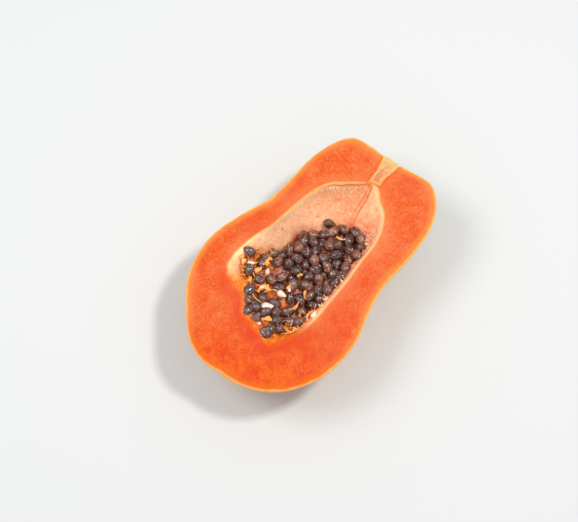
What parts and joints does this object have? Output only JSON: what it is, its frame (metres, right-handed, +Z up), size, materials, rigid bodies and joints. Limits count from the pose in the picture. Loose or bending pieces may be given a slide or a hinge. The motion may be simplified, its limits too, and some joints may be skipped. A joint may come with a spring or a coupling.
{
  "type": "papaya half",
  "caption": "Half of a ripe papaya, cut lengthways through the stalk, lying cut face up with a heap of seeds in its open hollow.",
  "frame": {"origin": "under the middle of the part's box, on the surface that it rests on", "axes": "+Z up, square to the cut face; +Y from the blossom end to the stalk end"},
  "size_m": [0.109, 0.1714, 0.0482],
  "materials": {
    "papaya_flesh": "moist cut fruit, orange-red, with thin yellow skin round the back",
    "papaya_seed": "wet dark brown seeds in clear jelly coats"
  },
  "bodies": {
    "root": {"papaya_half": "papaya_flesh", "seed_heap": "papaya_seed"}
  },
  "joints": []
}
